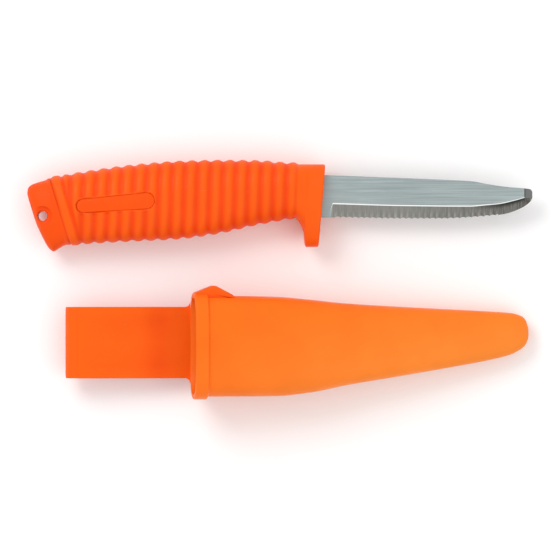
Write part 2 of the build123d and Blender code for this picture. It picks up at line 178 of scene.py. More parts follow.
def read_stations(stations, distances):
    """Values at the distances, on a cubic through the stations whose slope is level at each peak."""
    table = np.array(stations)
    place, value = table[:, 0], table[:, 1:]
    rise = np.diff(value, axis=0) / np.diff(place)[:, None]
    slope = np.vstack([rise[:1], np.zeros_like(rise[1:]), rise[-1:]])
    same_way = rise[1:] * rise[:-1] > 0
    total = np.where(same_way, rise[1:] + rise[:-1], 1)
    slope[1:-1] = np.where(same_way, 2 * rise[1:] * rise[:-1] / total, 0)
    flat = np.clip(np.asarray(distances, float), place[0], place[-1])
    index = np.clip(np.searchsorted(place, flat) - 1, 0, len(place) - 2)
    span = (place[index + 1] - place[index])[..., None]
    share = (flat - place[index])[..., None] / span
    return ((2 * share**3 - 3 * share**2 + 1) * value[index]
            + (share**3 - 2 * share**2 + share) * span * slope[index]
            + (3 * share**2 - 2 * share**3) * value[index + 1]
            + (share**3 - share**2) * span * slope[index + 1])


def smooth_step(value, start, end):
    """0 before start and 1 after end, with a smooth climb between them."""
    share = np.clip((value - start) / (end - start), 0, 1)
    return share * share * (3 - 2 * share)


def superellipse(count, roundness):
    """Unit superellipse: |along|^n + |across|^n = 1, as two arrays round the section."""
    angle = np.linspace(0, 2 * math.pi, count, endpoint=False)
    along = np.sign(np.cos(angle)) * np.abs(np.cos(angle)) ** (2 / roundness)
    across = np.sign(np.sin(angle)) * np.abs(np.sin(angle)) ** (2 / roundness)
    return along, across


def sweep(origins, ups, sides, low, high, half, count, roundness):
    """Surface of superellipse sections: origin + up * height + side * thickness, one row each."""
    along, across = superellipse(count, roundness)
    height = ((low + high)[:, None] + (high - low)[:, None] * along) / 2
    thickness = half[:, None] * across
    raised = origins[:, None, :] + ups[:, None, :] * height[..., None]
    return raised + sides[:, None, :] * thickness[..., None]


# ---------------------------------------------------------------- meshes

def closed_tube(name, rows, masks=None, sharp=40):
    """Closed mesh of a grid of rows (row, round, xyz) in metres, with a fan over each end row.

    Each quad joins point (i, j) to (i + 1, j + 1), and the normals are turned outwards."""
    count, around = rows.shape[:2]
    vertices = np.concatenate([rows.reshape(-1, 3), rows[0].mean(0)[None], rows[-1].mean(0)[None]])
    near = np.arange(count - 1)[:, None] * around + np.arange(around)[None]
    following = np.arange(count - 1)[:, None] * around + (np.arange(around)[None] + 1) % around
    quads = np.stack([near, following, following + around, near + around], -1).reshape(-1, 4)
    ring = np.arange(around)
    turned = (ring + 1) % around
    last = (count - 1) * around
    start_fan = np.stack([turned, ring, np.full(around, count * around)], -1)
    end_fan = np.stack([ring + last, turned + last, np.full(around, count * around + 1)], -1)
    mesh = bpy.data.meshes.new(name)
    mesh.from_pydata(vertices, [], quads.tolist() + start_fan.tolist() + end_fan.tolist())
    corners = vertices[quads[:, :3]]
    volume = np.einsum("ij,ij->i", corners[:, 0], np.cross(corners[:, 1], corners[:, 2])).sum()
    for key, values in (masks or {}).items():
        layer = mesh.attributes.new(key, "FLOAT", "POINT")
        flat = np.concatenate([values.reshape(-1), values[0].mean()[None], values[-1].mean()[None]])
        layer.data.foreach_set("value", flat.astype(np.float32))
    if volume < 0:
        mesh.flip_normals()
    mesh.validate()
    mesh.shade_smooth()
    mesh.set_sharp_from_angle(angle=math.radians(sharp))
    piece = bpy.data.objects.new(name, mesh)
    bpy.context.scene.collection.objects.link(piece)
    return piece


def finish_piece(piece, body, slot, material, *nodes):
    """Give a piece its material and its body, and hide the CAD nodes that it stands for; its slot is not
    used.
    """
    piece.data.materials.append(material)
    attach(piece, body)
    if nodes:
        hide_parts(*nodes)


def knife_datum():
    """Where the blade's axis leaves the guard, worked out from the blade's own box."""
    low, high = (np.array(corner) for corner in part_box("blade"))
    sizes = bpy.context.scene.rig_knife
    return np.array([high[0] - sizes.blade_length, high[1] - sizes.spine_height, (low[2] + high[2]) / 2])


def sheath_axes():
    """Middle of the sheath's mouth, and its forward, up and side directions, from the clip's hinge."""
    sizes = bpy.context.scene.rig_sheath
    hinge = next(joint for joint in frame["record"]["behaviour"]["joints"] if joint["type"] == "hinge")
    low, high = (np.array(corner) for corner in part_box("belt_strap"))
    tilt = math.asin((high[2] - low[2] - sizes.strap_thickness) / (strap_end() - HINGE_GAP))
    forward = np.array([math.cos(tilt), 0, -math.sin(tilt)])
    side = np.array([math.sin(tilt), 0, math.cos(tilt)])
    up = np.array([0.0, 1.0, 0.0])
    top = sizes.strap_thickness - sizes.mouth_half - sizes.collar_proud
    mouth = np.array(hinge["pos_m"]) + forward * strap_end() - up * sizes.strap_offset - side * top
    return mouth, forward, up, side


def strap_end():
    """Distance from the mouth back to where the strap starts to fold."""
    sizes = bpy.context.scene.rig_sheath
    return sizes.strap_length - sizes.belt_gap / 2 - sizes.strap_thickness


def knife_point(distance, height, lean):
    """Points at a height on cross-sections that lean about the blade's axis, side at the middle."""
    datum = knife_datum()
    x, y = distance + height * np.sin(lean), height * np.cos(lean)
    return datum + np.stack([x, y, np.zeros_like(height)], -1)


def grip_height(distance, along):
    """Height of each point round the grip's sections, without its ribs."""
    low, high, _ = read_stations(GRIP_STATIONS, distance).T
    return (low + high)[:, None] / 2 + (high - low)[:, None] / 2 * along


def badge_distance(x, y):
    """Distance outside the badge plate's outline: a capsule whose radius grows along it."""
    cosine, sine = math.cos(BADGE_TILT), math.sin(BADGE_TILT)
    dx, dy = x - BADGE_PLACE[0], y - BADGE_PLACE[1]
    along, across = dx * cosine + dy * sine, dy * cosine - dx * sine
    half = bpy.context.scene.rig_knife.badge_length / MM / 2
    start, end = BADGE_RADII[0] - half, half - BADGE_RADII[1]
    nearest = np.clip(along, start, end)
    radius = np.interp(nearest, [start, end], BADGE_RADII)
    return np.hypot(along - nearest, across) - radius


# ---------------------------------------------------------------- shader groups and materials

def new_group(name, inputs, outputs):
    """An empty shader group with float inputs and outputs, its end nodes included."""
    group = bpy.data.node_groups.new(name, "ShaderNodeTree")
    for key, default in inputs.items():
        socket = group.interface.new_socket(name=key, in_out="INPUT", socket_type="NodeSocketFloat")
        socket.default_value = default
    for key in outputs:
        group.interface.new_socket(name=key, in_out="OUTPUT", socket_type="NodeSocketFloat")
    return group, group.nodes.new("NodeGroupInput"), group.nodes.new("NodeGroupOutput")


def add_node(tree, kind, links=None, **settings):
    """A node with its settings, and its inputs linked or set by socket name or number."""
    node = tree.nodes.new(kind)
    for key, value in settings.items():
        setattr(node, key, value)
    for key, value in (links or {}).items():
        if isinstance(value, bpy.types.NodeSocket):
            tree.links.new(value, node.inputs[key])
        else:
            node.inputs[key].default_value = value
    return node


def noise(tree, vector, scale, detail=3.0, roughness=0.5):
    """Fractal noise on a vector: its factor socket."""
    return add_node(tree, "ShaderNodeTexNoise", {
        "Vector": vector, "Scale": scale, "Detail": detail, "Roughness": roughness}).outputs["Fac"]


def remap(tree, value, low, high, to_low, to_high):
    """A value carried from one range to another and held there."""
    return add_node(tree, "ShaderNodeMapRange", {
        "Value": value, "From Min": low, "From Max": high, "To Min": to_low, "To Max": to_high,
    }, interpolation_type="SMOOTHSTEP").outputs["Result"]


def calculate(tree, operation, first, second):
    """One math node's value."""
    return add_node(tree, "ShaderNodeMath", {0: first, 1: second}, operation=operation).outputs["Value"]


def mix_colours(tree, factor, first, second):
    """A colour between two, by a factor."""
    node = tree.nodes.new("ShaderNodeMix")
    node.data_type = "RGBA"
    for socket, value in zip((node.inputs[0], node.inputs[6], node.inputs[7]), (factor, first, second)):
        if isinstance(value, bpy.types.NodeSocket):
            tree.links.new(value, socket)
        else:
            socket.default_value = value if isinstance(value, float) else (*value, 1)
    return node.outputs[2]


def moulded_grain():
    """Group for moulded plastic: soft mottle, fine spark grain and sparse handling scuffs."""
    name = "Moulded Grain"
    if name in bpy.data.node_groups:
        return bpy.data.node_groups[name]
    group, given, made = new_group(name, {"Grain Scale": 2600.0, "Scuffs": 0.5},
                                   ("Mottle", "Height", "Scuff"))
    place = add_node(group, "ShaderNodeTexCoord").outputs["Object"]
    mottle = noise(group, place, 55.0, 4.0, 0.55)
    grain = noise(group, place, given.outputs["Grain Scale"], 2.0, 0.6)
    stretched = add_node(group, "ShaderNodeMapping", {"Vector": place, "Rotation": (0, 0, 0.5),
                                                     "Scale": (140, 1500, 1500)}).outputs["Vector"]
    scratches = remap(group, noise(group, stretched, 1.0, 2.0, 0.5), 0.66, 0.74, 0.0, 1.0)
    patches = remap(group, noise(group, place, 90.0, 2.0, 0.5), 0.5, 0.65, 0.0, 1.0)
    patched = calculate(group, "MULTIPLY", scratches, patches)
    scuff = calculate(group, "MULTIPLY", patched, given.outputs["Scuffs"])
    group.links.new(remap(group, mottle, 0.3, 0.7, 0.0, 1.0), made.inputs["Mottle"])
    group.links.new(calculate(group, "SUBTRACT", grain, scuff), made.inputs["Height"])
    group.links.new(scuff, made.inputs["Scuff"])
    return group


def brushed_lines():
    """Group for ground steel: fine streaks along one axis and a slow cloud over them."""
    name = "Brushed Lines"
    if name in bpy.data.node_groups:
        return bpy.data.node_groups[name]
    group, given, made = new_group(name, {"Lengthwise": 40.0, "Crosswise": 2600.0}, ("Streak", "Cloud"))
    place = add_node(group, "ShaderNodeTexCoord").outputs["Object"]
    scale = add_node(group, "ShaderNodeCombineXYZ", {
        "X": given.outputs["Lengthwise"], "Y": given.outputs["Crosswise"], "Z": 200.0}).outputs["Vector"]
    stretched = add_node(group, "ShaderNodeVectorMath", {0: place, 1: scale},
                         operation="MULTIPLY").outputs["Vector"]
    streak = remap(group, noise(group, stretched, 1.0, 5.0, 0.62), 0.3, 0.7, 0.0, 1.0)
    group.links.new(streak, made.inputs["Streak"])
    cloud = remap(group, noise(group, place, 38.0, 3.0, 0.5), 0.3, 0.7, 0.0, 1.0)
    group.links.new(cloud, made.inputs["Cloud"])
    return group


def new_material(name, roughness, metallic=0.0, specular=0.5):
    """A material with its Principled shader ready for colours, and the tree."""
    material = bpy.data.materials.new(name)
    material.use_nodes = True
    tree = material.node_tree
    shader = tree.nodes["Principled BSDF"]
    shader.inputs["Roughness"].default_value = roughness
    shader.inputs["Metallic"].default_value = metallic
    shader.inputs["Specular IOR Level"].default_value = specular
    return material, tree, shader


def mask(tree, name):
    """A value stored on the piece's points."""
    return add_node(tree, "ShaderNodeAttribute", attribute_name=name).outputs["Fac"]


def scaled(value, factor):
    """A colour made darker or lighter."""
    return tuple(min(1.0, part * factor) for part in value)


def moulded_plastic(name, base, shade, shade_mask, grain=2600.0, scuffs=0.5, bump=0.04):
    """Satin moulded plastic: base colour blended by a mask toward a second colour that paints shade and
    light, mottled, grained and lightly scuffed.
    """
    material, tree, shader = new_material(name, 0.46, specular=0.12)
    group = add_node(tree, "ShaderNodeGroup", node_tree=moulded_grain())
    group.inputs["Grain Scale"].default_value = grain
    group.inputs["Scuffs"].default_value = scuffs
    plain = mix_colours(tree, shade_mask(tree), tuple(base), tuple(shade))
    deep = mix_colours(tree, shade_mask(tree), scaled(base, 0.9), scaled(shade, 0.9))
    mottled = mix_colours(tree, remap(tree, group.outputs["Mottle"], 0.0, 1.0, 0.0, 0.55), plain, deep)
    tree.links.new(mix_colours(tree, remap(tree, group.outputs["Scuff"], 0.0, 1.0, 0.0, 0.25), mottled,
                               (1.0, 0.35, 0.14)), shader.inputs["Base Color"])
    rough = calculate(tree, "ADD", remap(tree, group.outputs["Mottle"], 0.0, 1.0, 0.38, 0.5),
                      calculate(tree, "MULTIPLY", group.outputs["Scuff"], 0.2))
    tree.links.new(rough, shader.inputs["Roughness"])
    relief = add_node(tree, "ShaderNodeBump", {"Height": group.outputs["Height"], "Strength": 0.35,
                                               "Distance": bump * MM})
    tree.links.new(relief.outputs["Normal"], shader.inputs["Normal"])
    return material


def blade_steel(finish):
    """Brushed flat, ground bevel darkening toward the tip, painted highlight along the bevel's shoulder,
    painted shade below the shoulder and at the tip step, and coarse tip facet.
    """
    material, tree, shader = new_material("Ground Stainless Steel", 0.34, metallic=1.0)
    along = add_node(tree, "ShaderNodeGroup", node_tree=brushed_lines())
    along.inputs["Lengthwise"].default_value = 45.0
    along.inputs["Crosswise"].default_value = 3600.0
    across = add_node(tree, "ShaderNodeGroup", node_tree=brushed_lines())
    across.inputs["Lengthwise"].default_value = 2600.0
    across.inputs["Crosswise"].default_value = 160.0
    flat = mix_colours(tree, along.outputs["Streak"], scaled(finish.steel, 0.84), scaled(finish.steel, 1.14))
    flat = mix_colours(tree, remap(tree, along.outputs["Cloud"], 0.0, 1.0, 0.0, 0.3), flat,
                       scaled(finish.steel, 0.82))
    ground = mix_colours(tree, mask(tree, "toward_tip"), tuple(finish.bevel), tuple(finish.bevel_tip))
    marks = remap(tree, across.outputs["Streak"], 0.0, 1.0, 0.0, 0.3)
    ground = mix_colours(tree, marks, ground, (0.36, 0.35, 0.33))
    # Painted shade: the bevel darkens further just below its shoulder, toward the tip
    ground = mix_colours(tree, mask(tree, "shoulder_shade"), ground, scaled(finish.bevel_tip, 0.45))
    body = mix_colours(tree, mask(tree, "bevel"), flat, ground)
    rough_tip = mix_colours(tree, across.outputs["Cloud"], scaled(finish.facet, 0.8),
                            scaled(finish.facet, 1.15))
    body = mix_colours(tree, mask(tree, "facet"), body, rough_tip)
    # Painted shade: a near-black line across the flat where it steps down to the tip facet
    body = mix_colours(tree, mask(tree, "tip_step_shade"), body, (0.035, 0.036, 0.036))
    # Painted highlight: a near-white line along the bevel's shoulder
    body = mix_colours(tree, mask(tree, "shoulder_highlight"), body, (0.98, 0.98, 0.97))
    tree.links.new(body, shader.inputs["Base Color"])
    tree.links.new(remap(tree, along.outputs["Streak"], 0.0, 1.0, 0.28, 0.42), shader.inputs["Roughness"])
    relief = add_node(tree, "ShaderNodeBump", {"Height": along.outputs["Streak"], "Strength": 0.2,
                                               "Distance": 0.01 * MM})
    tree.links.new(relief.outputs["Normal"], shader.inputs["Normal"])
    return material


def mask_reader(name):
    """A function that reads one stored mask in a material's tree."""
    return lambda tree: mask(tree, name)


# ---------------------------------------------------------------- operators

class RIG_OT_stage(bpy.types.Operator):
    """Camera straight above, pale floor and plain soft light"""
    bl_idname = "rig.stage"
    bl_label = "Stage"

    def execute(self, context):
        camera = bpy.data.cameras.new("Camera")
        camera.lens = 300
        camera.clip_end = 20
        view = bpy.data.objects.new("Camera", camera)
        field = 249.2 * MM
        view.location = (0.11 * MM, -0.33 * MM, 12 * MM + camera.lens / camera.sensor_width * field)
        context.scene.collection.objects.link(view)
        context.scene.camera = view
        floor_mesh = bpy.data.meshes.new("Floor")
        reach = 3.0
        corners = [(-reach, -reach, 0), (reach, -reach, 0), (reach, reach, 0), (-reach, reach, 0)]
        floor_mesh.from_pydata(corners, [], [(0, 1, 2, 3)])
        floor = bpy.data.objects.new("Floor", floor_mesh)
        context.scene.collection.objects.link(floor)
        material, tree, shader = new_material("Pale Floor", 0.9, specular=0.0)
        place = add_node(tree, "ShaderNodeTexCoord").outputs["Object"]
        grain = remap(tree, noise(tree, place, 3.0), 0, 1, 0.985, 1.0)
        tree.links.new(grain, shader.inputs["Base Color"])
        floor_mesh.materials.append(material)
        world = bpy.data.worlds.new("Studio")
        world.use_nodes = True
        context.scene.world = world
        sky = world.node_tree.nodes["Background"]
        path = add_node(world.node_tree, "ShaderNodeLightPath")
        seen = calculate(world.node_tree, "MAXIMUM", path.outputs["Is Camera Ray"],
                         path.outputs["Is Glossy Ray"])
        strength = add_node(world.node_tree, "ShaderNodeMapRange", {
            "Value": seen, "To Min": 0.8, "To Max": 1.0}).outputs["Result"]
        world.node_tree.links.new(strength, sky.inputs["Strength"])
        sky.inputs["Color"].default_value = (1, 1, 1, 1)
        for name, place, size, power in (
            ("Key Light", (-0.45, 0.5, 0.75), 0.5, 3.4),
            ("Fill Light", (0.6, -0.35, 0.8), 0.8, 1.6),
        ):
            lamp = bpy.data.lights.new(name, "AREA")
            lamp.size = size
            lamp.energy = power
            light = bpy.data.objects.new(name, lamp)
            light.location = place
            light.rotation_euler = (-Vector(place)).to_track_quat("-Z", "Y").to_euler()
            context.scene.collection.objects.link(light)
        context.scene.view_settings.view_transform = "Standard"
        return {"FINISHED"}


class RIG_OT_blade(bpy.types.Operator):
    """Blade: flats, ground bevel, scalloped serrations and stepped blunt tip"""
    bl_idname = "rig.blade"
    bl_label = "Blade"

    def execute(self, context):
        sizes, finish = context.scene.rig_knife, context.scene.rig_finish
        tip = sizes.blade_length / MM
        half = sizes.blade_thickness / MM / 2 - 0.01
        corner = np.linspace(0, math.pi / 2, 9)
        plunge = np.linspace(2.7, 4.6, 12)
        place = np.unique(np.concatenate([
            np.linspace(-2.4, 2.7, 10), plunge, np.arange(4.6, 78.5, 0.19), np.arange(78.5, tip - 1.2, 0.25),
            tip - sizes.facet_length / MM + np.linspace(-0.35, 0.35, 9), tip - 1.1 * (1 - np.sin(corner))]))
        spine = read_stations(SPINE_STATIONS, place)[:, 0]
        edge = read_stations(EDGE_STATIONS, place)[:, 0]
        line = read_stations(BEVEL_STATIONS, place)[:, 0]
        rounding = 1.1 - np.sqrt(np.clip(1.1**2 - np.clip(place - tip + 1.1, 0, 1.1) ** 2, 0, None))
        spine = spine - rounding * 0.9
        pitch, depth = sizes.serration_pitch / MM, sizes.serration_depth / MM
        phase = ((place - sizes.serration_start / MM) / pitch) % 1
        toothed = (place > sizes.serration_start / MM) & (place < sizes.serration_end / MM)
        scallop = np.where(toothed, 1 - (2 * phase - 1) ** 2, 0)
        cut = edge + depth * scallop
        ground = smooth_step(place, 3.1, 4.4)
        facet = smooth_step(place, tip - sizes.facet_length / MM - 0.12, tip - sizes.facet_length / MM + 0.12)
        cut = np.minimum(cut, line - 0.15)
        line = np.where(place < 4.4, np.interp(place, [2.7, 4.4], [-9.4, -3.5]), line)
        line = np.maximum(line, cut + 0.1)
        flat_z = half - 0.42 * facet
        edge_z = half + (0.2 - half) * ground
        share = np.concatenate([[0, 0.03, 0.5, 0.968, 0.98], [1.0], [1.04, 1.1], np.linspace(1.2, 2, 7)])
        upper = np.clip(share, 0, 1)[None]
        lower = np.clip(share - 1, 0, 1)[None]
        height = spine[:, None] + (line - spine)[:, None] * upper + (cut - line)[:, None] * lower
        thick = flat_z[:, None] + (edge_z - flat_z)[:, None] * lower
        bite = 0.16 * scallop[:, None] * np.clip(lower * 2.2 - 1.2, 0, 1)
        thick = np.where(upper > 0, thick, thick - 0.12) - bite
        both_height = np.concatenate([height, height[:, ::-1]], 1)
        both_thick = np.concatenate([thick, -thick[:, ::-1]], 1)
        rows = knife_datum() + MM * np.stack(
            [np.broadcast_to(place[:, None], both_height.shape), both_height, both_thick], -1)
        full = np.concatenate([share, share[::-1]])[None]
        shape = both_height.shape
        toward_tip = np.clip((place - 30) / 60, 0, 1)[:, None] ** 1.3
        on_bevel = smooth_step(full, 1.0, 1.03) * ground[:, None]
        before_facet = (1 - facet)[:, None]
        masks = {
            "bevel": np.broadcast_to(on_bevel, shape),
            "toward_tip": np.broadcast_to(toward_tip, shape),
            # Painted shade: a darker band on the bevel just below its shoulder, toward the tip
            "shoulder_shade": smooth_step(place, 62, 84)[:, None] * ground[:, None]
            * smooth_step(full, 1.0, 1.02) * (1 - smooth_step(full, 1.1, 1.5)) * before_facet,
            # Painted highlight: a near-white line just above the bevel's shoulder
            "shoulder_highlight": smooth_step(full, 0.967, 0.98) * (1 - smooth_step(full, 1.0, 1.02))
            * ground[:, None] * before_facet,
            "facet": np.broadcast_to(facet[:, None], shape) * (1 - smooth_step(full, 1.0, 1.02)),
            # Painted shade: a near-black line across the flat at the tip facet's step
            "tip_step_shade": (np.exp(-((place - tip + sizes.facet_length / MM) / 0.22) ** 2)[:, None]
                          * (1 - smooth_step(full, 1.0, 1.02))),
        }
        piece = closed_tube("blade_ground", rows, masks, sharp=18)
        finish_piece(piece, "knife", "blade", blade_steel(finish), "blade")
        return {"FINISHED"}


class RIG_OT_grip(bpy.types.Operator):
    """Grip: one moulding with ribs, badge recess, smooth collar and finger guard"""
    bl_idname = "rig.grip"
    bl_label = "Grip"

    def execute(self, context):
        sizes, finish = context.scene.rig_knife, context.scene.rig_finish
        around, front = 212, sizes.smooth_front / MM
        grip, depth = sizes.grip_length / MM, sizes.rib_depth / MM
        along, across = superellipse(around, GRIP_ROUNDNESS)
        # front part: rounded edge of the front face, then the guard back to the ribs
        arc = np.linspace(0, math.pi / 2, 9)
        edge = 0.9
        face = np.array([0.12, 0.45, 0.8])
        distance = np.concatenate([np.zeros(3), -edge * (1 - np.cos(arc)), -np.linspace(edge, front, 44)[1:]])
        inset = np.concatenate([np.zeros(3), edge * (1 - np.sin(arc)), np.zeros(43)])
        shrink = np.concatenate([face, np.ones(len(distance) - 3)])
        inset[:3] = edge
        low, high, half = read_stations(GUARD_STATIONS, distance).T
        middle = (low + high) / 2
        reach = ((high - low) / 2 - inset) * shrink
        guard_height = middle[:, None] + reach[:, None] * along
        guard_side = ((half - inset) * shrink)[:, None] * across
        guard_lean = RIB_LEAN + (FRONT_LEAN - RIB_LEAN) * (1 + distance / front)
        guard_x = np.broadcast_to(distance[:, None], guard_height.shape)
        # ribbed part: rows run from the collar back to the slanted seam
        share = np.linspace(0, 1, 372)[1:]
        rough = -front - share * (grip - front + 1)
        seam = -grip + (grip_height(rough, along) - sizes.seam_height / MM) * math.tan(SEAM_LEAN)
        rib_x = -front + share[:, None] * (seam + front)
        low, high, half = np.moveaxis(read_stations(GRIP_STATIONS, rib_x), -1, 0)
        phase = ((-front - rib_x) / (sizes.rib_pitch / MM)) % 1
        regular = np.abs(np.cos(math.pi * phase)) ** 2.6
        forward = (rib_x - seam) * math.cos(SEAM_LEAN)
        end_rib = 1.15 * smooth_step(forward, 3.1, 4.9) + 0.9 * (1 - smooth_step(forward, 0.0, 1.3)) - 0.15
        groove = np.where(forward < 4.9, end_rib, 1 + (regular - 1) * smooth_step(forward, 4.9, 6.4))
        blend = smooth_step(-rib_x, front, front + 1.6)
        outside = badge_distance(rib_x, (low + high) / 2 + (high - low) / 2 * along)
        on_side = np.abs(across) > 0.3
        land = np.where(on_side, smooth_step(outside, 0.25, 0.95), 1)
        sunk = np.where(on_side, 1 - smooth_step(outside, -0.12, 0.26), 0)
        sink = depth * groove * land * blend + depth * (1 - blend)
        low_b, high_b, half_b = (blend * full + (1 - blend) * start for full, start in (
            (low, guard_height[-1].min() - depth), (high, guard_height[-1].max() + depth), (half, 11.5)))
        rib_height = (low_b + high_b) / 2 + ((high_b - low_b) / 2 - sink) * along
        rib_side = (half_b - sink) * across - np.sign(across) * sunk
        x = np.concatenate([guard_x, rib_x])
        height = np.concatenate([guard_height, rib_height])
        side = np.concatenate([guard_side, rib_side])
        lean = np.concatenate([np.broadcast_to(guard_lean[:, None], guard_x.shape),
                               np.full(rib_x.shape, RIB_LEAN)])
        points = knife_point(x, height, lean)
        rows = (points - knife_datum()) * MM + knife_datum()
        rows[..., 2] += side * MM
        inner = rows[-1].mean(0)
        rows = np.concatenate([rows, inner + (rows[-1:] - inner) * 0.86, inner + (rows[-1:] - inner) * 0.4])
        # Painted shade: the grip darkens toward the groove colour in its rib grooves and in the badge recess
        shade = np.concatenate([np.zeros(guard_x.shape), np.clip(groove * land * blend, 0, 1) + 0.8 * sunk])
        shade = np.concatenate([shade, shade[-1:], shade[-1:]])
        piece = closed_tube("ribbed_grip", rows, {"groove": np.clip(shade, 0, 1)}, sharp=50)
        material = moulded_plastic("Ribbed Grip Plastic", finish.grip, finish.groove, mask_reader("groove"))
        finish_piece(piece, "knife", "handle_body", material, "handle_body")
        return {"FINISHED"}


class RIG_OT_end_cap(bpy.types.Operator):
    """End cap: slanted cap with a bead at its seam and a dished lanyard hole"""
    bl_idname = "rig.end_cap"
    bl_label = "End Cap"

    def execute(self, context):
        sizes, finish = context.scene.rig_knife, context.scene.rig_finish
        datum = knife_datum()
        normal = np.array([-math.cos(SEAM_LEAN), math.sin(SEAM_LEAN), 0])
        up = np.array([math.sin(SEAM_LEAN), math.cos(SEAM_LEAN), 0])
        side = np.array([0.0, 0.0, 1.0])
        middle = datum + np.array([-sizes.grip_length, sizes.seam_height, 0])
        arc = np.linspace(0, math.pi / 2, 7)
        behind = np.concatenate([0.1 + 0.35 * (1 - np.cos(arc)), np.linspace(0.6, 12.05, 60)])
        low, high, half = read_stations(CAP_STATIONS, behind).T
        inset = np.concatenate([0.35 * (1 - np.sin(arc)), np.zeros(60)])
        rows = sweep(middle + normal * behind[:, None] * MM, np.tile(up, (len(behind), 1)),
                     np.tile(side, (len(behind), 1)), (low + inset) * MM, (high - inset) * MM,
                     (half - inset) * MM, 160, GRIP_ROUNDNESS)
        face = rows[-1].mean(0)
        rows = np.concatenate([rows, face + (rows[-1:] - face) * 0.7 + normal * 0.04 * MM,
                               face + (rows[-1:] - face) * 0.3 + normal * 0.04 * MM])
        cap = closed_tube("end_cap_moulding", rows, sharp=50)
        hole = middle + normal * CAP_HOLE_PLACE[0] * MM + up * CAP_HOLE_PLACE[1] * MM
        flare = np.array([(6.0, sizes.cap_hole / 2 / MM), (6.3, 2.25), (6.75, 2.75), (6.95, 3.4),
                          (7.6, 4.3), (12, 4.6)])
        profile = np.concatenate([flare[::-1] * (-1, 1), flare]) * MM
        angle = np.linspace(0, 2 * math.pi, 64, endpoint=False)
        ring = np.stack([np.cos(angle), np.sin(angle), np.zeros(64)], -1)
        drill_rows = hole + profile[:, 1, None, None] * ring + profile[:, 0, None, None] * side
        drill = closed_tube("drill", drill_rows)
        cut = cap.modifiers.new("Lanyard hole", "BOOLEAN")
        cut.operation, cut.object, cut.solver = "DIFFERENCE", drill, "EXACT"
        finished = bpy.data.meshes.new_from_object(cap.evaluated_get(context.evaluated_depsgraph_get()))
        cap.modifiers.clear()
        cap.data = finished
        bpy.data.objects.remove(drill)
        finished.set_sharp_from_angle(angle=math.radians(42))
        # Painted shade: the cap darkens toward a darker groove colour within its first 0.9 mm behind the
        # seam, where shade falls in the joint
        layer = finished.attributes.new("depth", "FLOAT", "POINT")
        place = np.empty(len(finished.vertices) * 3)
        finished.vertices.foreach_get("co", place)
        place = place.reshape(-1, 3)
        seam = (place - middle) @ normal / MM
        layer.data.foreach_set("value", (1 - smooth_step(seam, 0.1, 0.9)).astype(np.float32))
        material = moulded_plastic("End Cap Plastic", finish.cap, scaled(finish.groove, 0.8),
                                   mask_reader("depth"))
        finish_piece(cap, "knife", "end_cap", material, "end_cap")
        return {"FINISHED"}


class RIG_OT_badges(bpy.types.Operator):
    """Badge plates: bare rounded plates let into both sides of the grip"""
    bl_idname = "rig.badges"
    bl_label = "Badge Plates"

    def execute(self, context):
        sizes, finish = context.scene.rig_knife, context.scene.rig_finish
        datum = knife_datum()
        half_length = sizes.badge_length / MM / 2
        angle = np.linspace(0, 2 * math.pi, 160, endpoint=False)
        small, large = BADGE_RADII
        rear = np.array([small - half_length, 0.0])
        front = np.array([half_length - large, 0.0])
        outward = np.stack([np.cos(angle), np.sin(angle)], -1)
        at_front = ((front - rear) @ outward.T + large - small)[:, None] > 0
        top = sizes.handle_thickness / MM / 2 - sizes.badge_sink / MM
        arc = np.linspace(0, math.pi / 2, 8)
        inset = np.concatenate([[0.4], np.zeros(1), 0.45 * (1 - np.cos(arc)), np.linspace(0.7, 2.9, 8)])
        level = np.concatenate([[top - 1.3, top - 1.2], top - 0.12 - 0.4 * (1 - np.sin(arc)),
                                top - 0.12 + 0.12 * np.sin(np.linspace(0.15, math.pi / 2, 8))])
        radius = np.where(at_front, large, small) - inset[:, None, None]
        flat = np.where(at_front, front, rear)[None] + radius * outward[None]
        cosine, sine = math.cos(BADGE_TILT), math.sin(BADGE_TILT)
        turn = np.array([[cosine, sine], [-sine, cosine]])
        flat = flat @ turn + np.array(BADGE_PLACE)
        # Painted shade: each plate darkens toward a darker groove colour round its rim, where shade falls in
        # the gap round it
        material = moulded_plastic("Badge Plate Plastic", finish.badge, scaled(finish.groove, 0.75),
                                   mask_reader("rim_shade"))
        rim_shade = np.broadcast_to((1 - smooth_step(inset, 0.0, 0.5))[:, None], flat.shape[:2])
        for name, way in (("badge_front", 1), ("badge_back", -1)):
            rows = datum + MM * np.concatenate(
                [flat, np.broadcast_to(way * level[:, None, None], (*flat.shape[:2], 1))], -1)
            plate = closed_tube(name + "_plate", rows, {"rim_shade": rim_shade}, sharp=60)
            finish_piece(plate, "knife", "badge", material, name)
        return {"FINISHED"}


